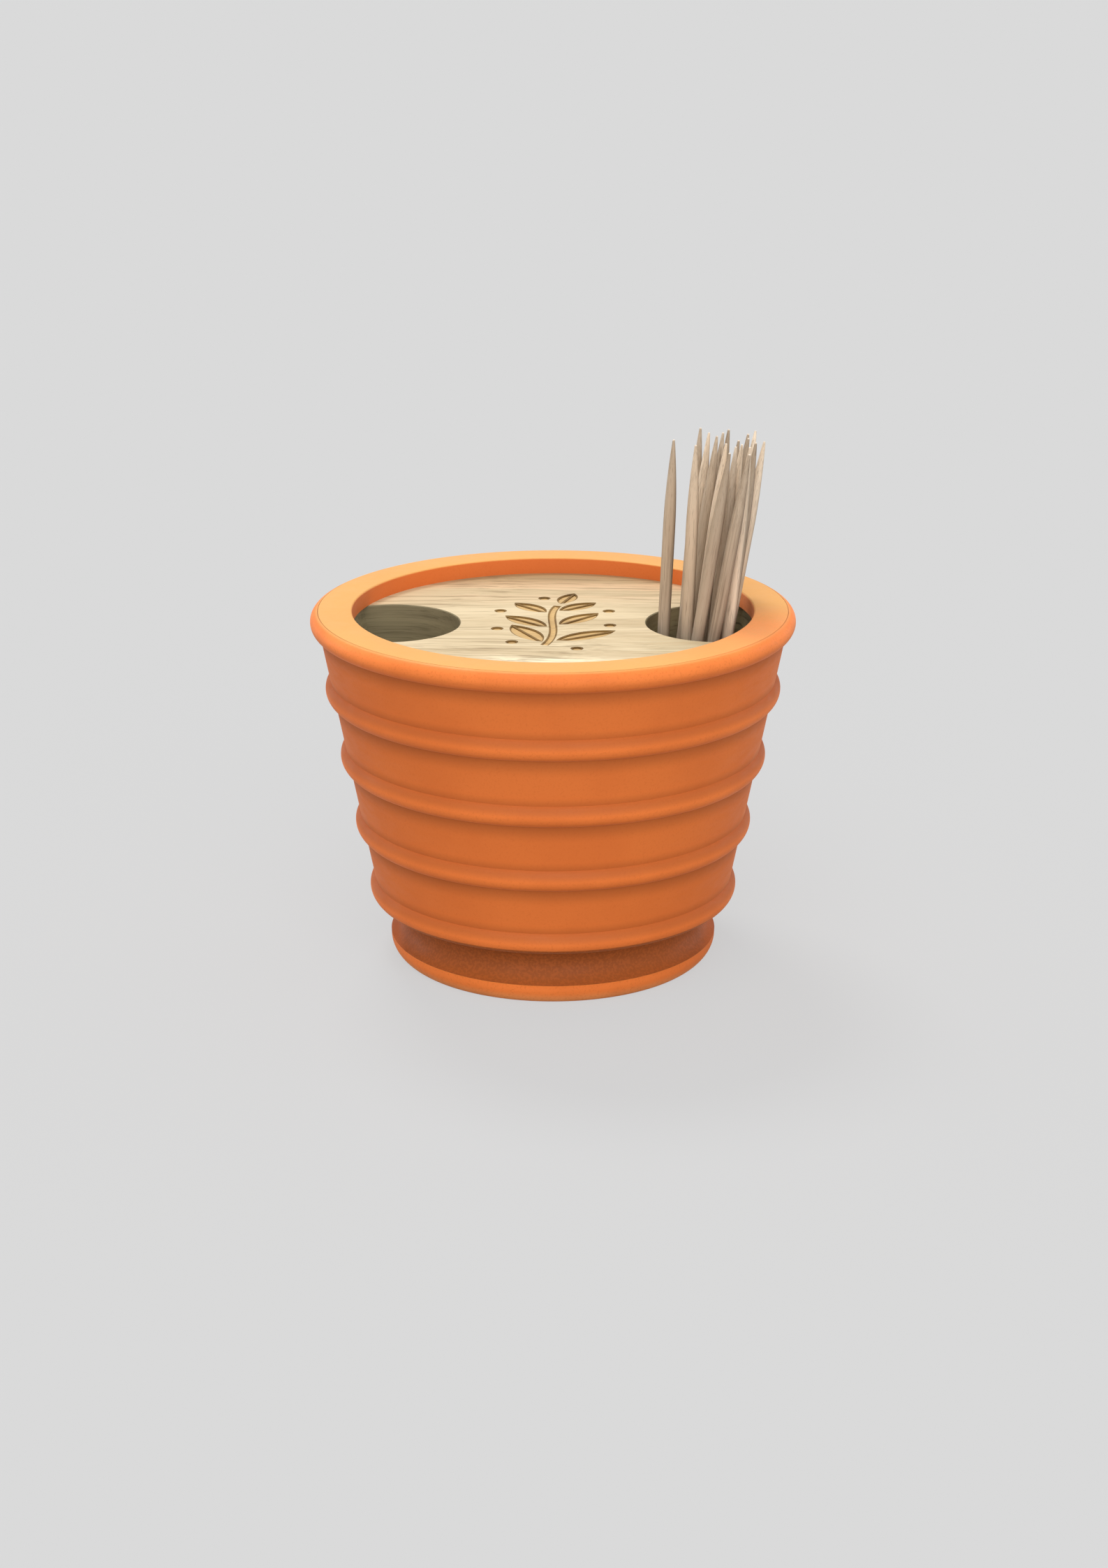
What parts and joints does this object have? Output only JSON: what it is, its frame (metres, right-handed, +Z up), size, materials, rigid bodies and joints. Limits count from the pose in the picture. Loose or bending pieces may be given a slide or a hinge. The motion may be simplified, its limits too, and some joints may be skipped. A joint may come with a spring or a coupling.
{
  "type": "toothpick holder",
  "caption": "Ribbed round table pot with a flat rim collar and a wooden insert, whose round pockets hold loose round toothpicks.",
  "frame": {"origin": "middle of the pot's base, on the table", "axes": "+X to the right across the two pockets, with the toothpicks on the right; +Y to the back, away from the picture's viewer; +Z up"},
  "size_m": [0.08, 0.08, 0.0877],
  "materials": {
    "pot": "smooth warm orange moulded plastic with a soft satin sheen",
    "collar": "smooth warm orange moulded plastic, flat and satin, as the pot",
    "insert_wood": "pale fine-sawn wood with grey-brown streaks along X, unvarnished",
    "pick_wood": "raw turned birch with a fine lengthwise grain"
  },
  "bodies": {
    "pot": {"pot_body": "pot"},
    "lid": {"rim_collar": "collar", "wood_insert": "insert_wood"},
    "toothpick_1_body": {"toothpick_1": "pick_wood"},
    "toothpick_2_body": {"toothpick_2": "pick_wood"},
    "toothpick_3_body": {"toothpick_3": "pick_wood"},
    "toothpick_4_body": {"toothpick_4": "pick_wood"},
    "toothpick_5_body": {"toothpick_5": "pick_wood"},
    "toothpick_6_body": {"toothpick_6": "pick_wood"},
    "toothpick_7_body": {"toothpick_7": "pick_wood"},
    "toothpick_8_body": {"toothpick_8": "pick_wood"},
    "toothpick_9_body": {"toothpick_9": "pick_wood"},
    "toothpick_10_body": {"toothpick_10": "pick_wood"},
    "toothpick_11_body": {"toothpick_11": "pick_wood"},
    "toothpick_12_body": {"toothpick_12": "pick_wood"},
    "toothpick_13_body": {"toothpick_13": "pick_wood"},
    "toothpick_14_body": {"toothpick_14": "pick_wood"},
    "toothpick_15_body": {"toothpick_15": "pick_wood"},
    "toothpick_16_body": {"toothpick_16": "pick_wood"},
    "toothpick_17_body": {"toothpick_17": "pick_wood"},
    "toothpick_18_body": {"toothpick_18": "pick_wood"},
    "toothpick_19_body": {"toothpick_19": "pick_wood"}
  },
  "joints": [
    {"name": "lid_lift", "type": "slide", "parent": "pot", "child": "lid", "axis": [0, 0, 1], "range_m": [0, 0.06]},
    {"name": "toothpick_1_pull", "type": "slide", "parent": "lid", "child": "toothpick_1_body", "axis": [0.1454, -0.0485, 0.9882], "range_m": [0, 0.07]},
    {"name": "toothpick_2_pull", "type": "slide", "parent": "lid", "child": "toothpick_2_body", "axis": [0.1615, -0.0485, 0.9857], "range_m": [0, 0.07]},
    {"name": "toothpick_3_pull", "type": "slide", "parent": "lid", "child": "toothpick_3_body", "axis": [0.0291, -0.0355, 0.9989], "range_m": [0, 0.07]},
    {"name": "toothpick_4_pull", "type": "slide", "parent": "lid", "child": "toothpick_4_body", "axis": [0.0921, -0.0323, 0.9952], "range_m": [0, 0.07]},
    {"name": "toothpick_5_pull", "type": "slide", "parent": "lid", "child": "toothpick_5_body", "axis": [0.0937, -0.0291, 0.9952], "range_m": [0, 0.07]},
    {"name": "toothpick_6_pull", "type": "slide", "parent": "lid", "child": "toothpick_6_body", "axis": [0.1195, -0.0226, 0.9926], "range_m": [0, 0.07]},
    {"name": "toothpick_7_pull", "type": "slide", "parent": "lid", "child": "toothpick_7_body", "axis": [0.1228, -0.0226, 0.9922], "range_m": [0, 0.07]},
    {"name": "toothpick_8_pull", "type": "slide", "parent": "lid", "child": "toothpick_8_body", "axis": [0.0388, -0.0162, 0.9991], "range_m": [0, 0.07]},
    {"name": "toothpick_9_pull", "type": "slide", "parent": "lid", "child": "toothpick_9_body", "axis": [0.1308, -0.0032, 0.9914], "range_m": [0, 0.07]},
    {"name": "toothpick_10_pull", "type": "slide", "parent": "lid", "child": "toothpick_10_body", "axis": [0.126, -0.0032, 0.992], "range_m": [0, 0.07]},
    {"name": "toothpick_11_pull", "type": "slide", "parent": "lid", "child": "toothpick_11_body", "axis": [0.1212, 0.0226, 0.9924], "range_m": [0, 0.07]},
    {"name": "toothpick_12_pull", "type": "slide", "parent": "lid", "child": "toothpick_12_body", "axis": [0.1583, 0.0097, 0.9873], "range_m": [0, 0.07]},
    {"name": "toothpick_13_pull", "type": "slide", "parent": "lid", "child": "toothpick_13_body", "axis": [0.1632, -0.0065, 0.9866], "range_m": [0, 0.07]},
    {"name": "toothpick_14_pull", "type": "slide", "parent": "lid", "child": "toothpick_14_body", "axis": [0.1131, 0.0291, 0.9932], "range_m": [0, 0.07]},
    {"name": "toothpick_15_pull", "type": "slide", "parent": "lid", "child": "toothpick_15_body", "axis": [0.1131, 0.0258, 0.9933], "range_m": [0, 0.07]},
    {"name": "toothpick_16_pull", "type": "slide", "parent": "lid", "child": "toothpick_16_body", "axis": [0.1373, 0.0194, 0.9903], "range_m": [0, 0.07]},
    {"name": "toothpick_17_pull", "type": "slide", "parent": "lid", "child": "toothpick_17_body", "axis": [0.0678, 0.0388, 0.9969], "range_m": [0, 0.07]},
    {"name": "toothpick_18_pull", "type": "slide", "parent": "lid", "child": "toothpick_18_body", "axis": [0.1034, 0.0291, 0.9942], "range_m": [0, 0.07]},
    {"name": "toothpick_19_pull", "type": "slide", "parent": "lid", "child": "toothpick_19_body", "axis": [0.1357, 0.0258, 0.9904], "range_m": [0, 0.07]}
  ]
}
